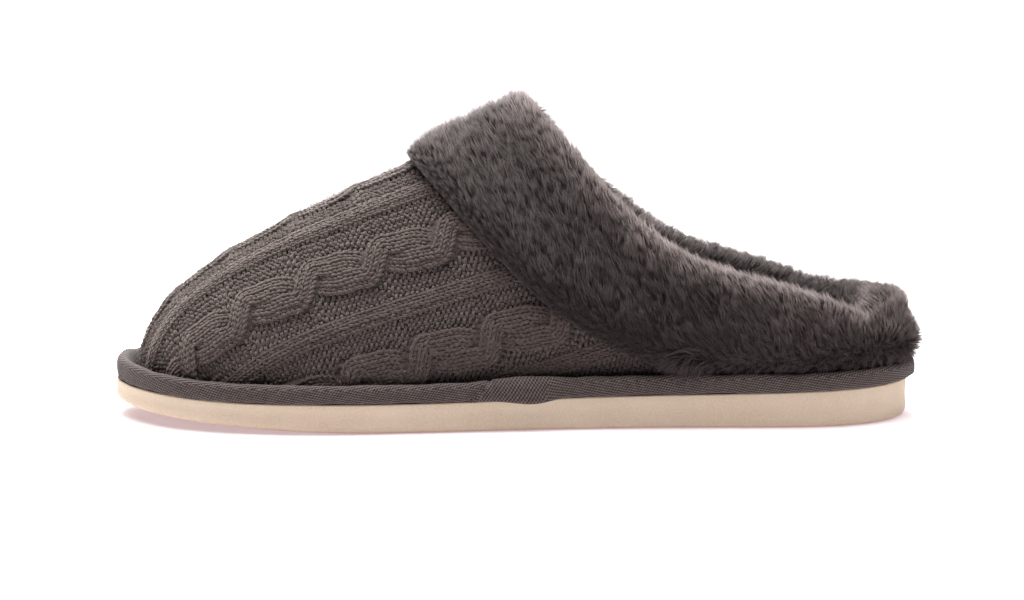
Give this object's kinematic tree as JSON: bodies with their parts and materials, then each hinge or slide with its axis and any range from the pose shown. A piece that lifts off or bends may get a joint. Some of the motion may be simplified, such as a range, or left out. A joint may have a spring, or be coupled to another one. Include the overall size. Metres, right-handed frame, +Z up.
{
  "type": "slipper",
  "caption": "Cable-knit house slipper with a folded fur cuff, a low padded heel wall, a woven edge binding and a flat foam sole; a right shoe, empty, standing.",
  "frame": {"origin": "on the floor, under the middle of the slipper's length and width", "axes": "+X from toe to heel, -Y to the inner side of the right foot, +Z up"},
  "size_m": [0.2638, 0.0986, 0.105],
  "materials": {
    "foam": "matt cream foam",
    "tape": "woven tape",
    "plush": "short plush pile",
    "knit": "cable knit",
    "fur": "long soft pile"
  },
  "bodies": {
    "root": {"outsole": "foam", "binding": "tape", "insole": "plush", "upper": "knit", "fur_cuff": "fur"}
  },
  "joints": []
}
